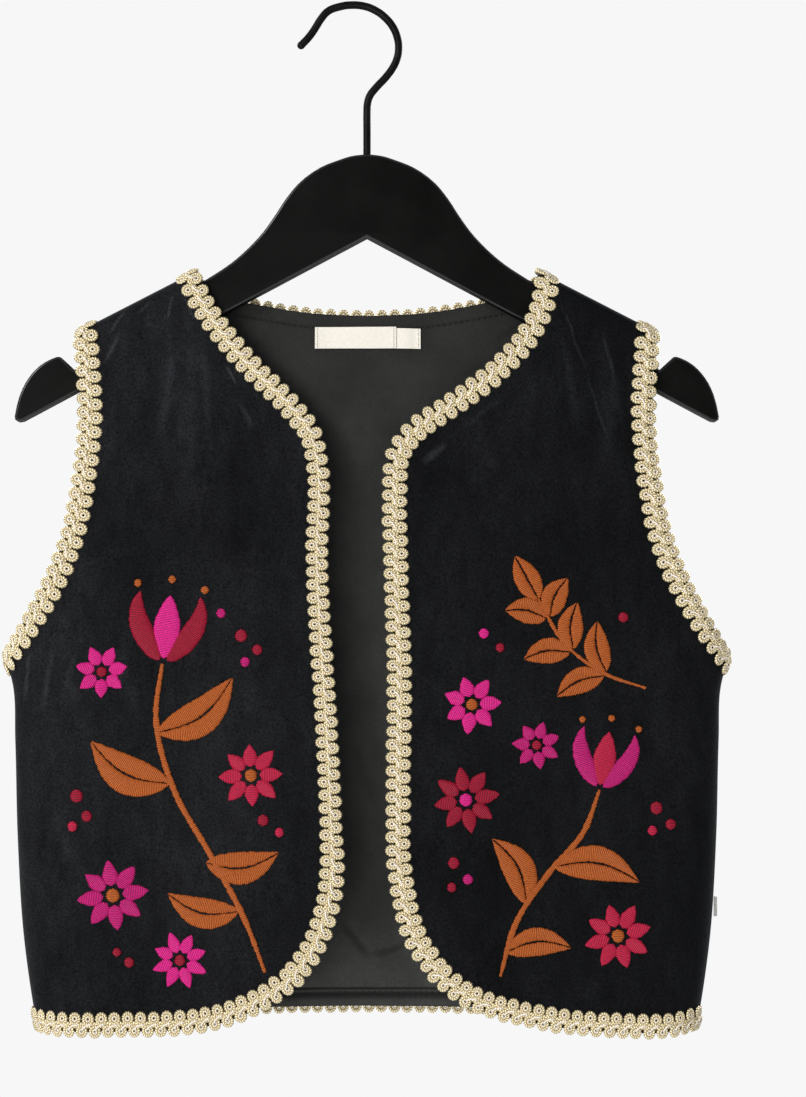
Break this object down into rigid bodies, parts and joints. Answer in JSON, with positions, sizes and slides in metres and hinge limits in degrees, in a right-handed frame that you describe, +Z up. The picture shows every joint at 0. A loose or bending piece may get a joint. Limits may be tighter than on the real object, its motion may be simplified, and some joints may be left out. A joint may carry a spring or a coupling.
{
  "type": "vest on clothes hanger",
  "caption": "Sleeveless open-front child's vest in dark velvet with gold braid edging and embroidery, hanging on a flat wooden hanger with a wire hook.",
  "frame": {"origin": "inside of the hook's crown, where a rail carries the hanger, above the middle of the bar", "axes": "+Z up, +X to the viewer's right, the garment's front faces -Y"},
  "size_m": [0.3697, 0.0512, 0.5171],
  "materials": {
    "velvet": "short dark velvet pile",
    "lining": "dark grey cotton jersey",
    "braid": "gold and silver metallic gimp braid",
    "label": "woven cotton label",
    "embroidery": "satin stitch in rayon thread",
    "bar": "black painted wood, satin",
    "hook": "black coated steel wire"
  },
  "bodies": {
    "root": {"front_right": "velvet", "front_left": "velvet", "back": "velvet", "back_lining": "lining", "braid_edge": "braid", "braid_armhole_right": "braid", "braid_armhole_left": "braid", "neck_label": "label", "size_label": "label", "side_tag": "label", "hanger_bar": "bar", "hanger_hook": "hook"}
  },
  "joints": []
}
